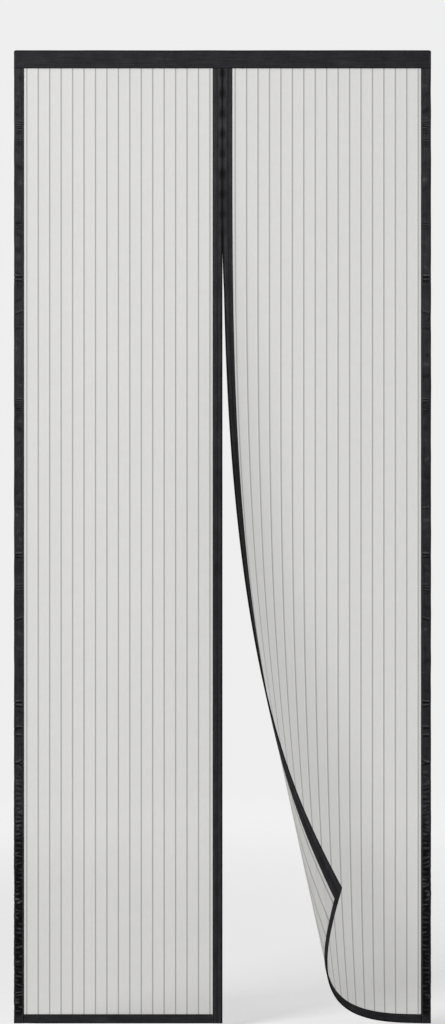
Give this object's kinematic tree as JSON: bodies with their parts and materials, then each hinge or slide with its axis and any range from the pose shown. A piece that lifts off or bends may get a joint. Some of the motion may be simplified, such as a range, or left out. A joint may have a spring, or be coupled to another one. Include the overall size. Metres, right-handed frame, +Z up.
{
  "type": "door insect screen",
  "caption": "Door insect screen: ribbed net panels bound in dark tape meet at a magnetic middle seam, with one panel curled open from its foot.",
  "frame": {"origin": "middle of the adhesive face of the header's fixing strip, on the surface of the door frame", "axes": "+X to the right as seen from the room, +Y out of the back towards the door frame, +Z up"},
  "size_m": [0.9, 0.1961, 2.1],
  "materials": {
    "binding_tape": "woven, slight sheen",
    "insect_net": "fine see-through net with darker ribs",
    "loop_strip": "looped pile",
    "hook_strip": "moulded hooks, adhesive back",
    "magnet": "dull grey"
  },
  "bodies": {
    "root": {"header_tape": "binding_tape", "side_tape_left": "binding_tape", "side_tape_right": "binding_tape", "centre_tape_left": "binding_tape", "centre_tape_right": "binding_tape", "bottom_tape_left": "binding_tape", "bottom_tape_right": "binding_tape", "net_left": "insect_net", "net_right": "insect_net", "header_loop_strip": "loop_strip", "side_loop_strip_left": "loop_strip", "side_loop_strip_right": "loop_strip", "header_hook_strip": "hook_strip", "side_hook_strip_left": "hook_strip", "side_hook_strip_right": "hook_strip", "magnet_left_01": "magnet", "magnet_left_02": "magnet", "magnet_left_03": "magnet", "magnet_left_04": "magnet", "magnet_left_05": "magnet", "magnet_left_06": "magnet", "magnet_left_07": "magnet", "magnet_left_08": "magnet", "magnet_left_09": "magnet", "magnet_left_10": "magnet", "magnet_left_11": "magnet", "magnet_left_12": "magnet", "magnet_left_13": "magnet", "magnet_left_14": "magnet", "magnet_left_15": "magnet", "magnet_left_16": "magnet", "magnet_left_17": "magnet", "magnet_left_18": "magnet", "magnet_left_19": "magnet", "magnet_left_20": "magnet", "magnet_right_01": "magnet", "magnet_right_02": "magnet", "magnet_right_03": "magnet", "magnet_right_04": "magnet", "magnet_right_05": "magnet", "magnet_right_06": "magnet", "magnet_right_07": "magnet", "magnet_right_08": "magnet", "magnet_right_09": "magnet", "magnet_right_10": "magnet", "magnet_right_11": "magnet", "magnet_right_12": "magnet", "magnet_right_13": "magnet", "magnet_right_14": "magnet", "magnet_right_15": "magnet", "magnet_right_16": "magnet", "magnet_right_17": "magnet", "magnet_right_18": "magnet", "magnet_right_19": "magnet", "magnet_right_20": "magnet"}
  },
  "joints": []
}
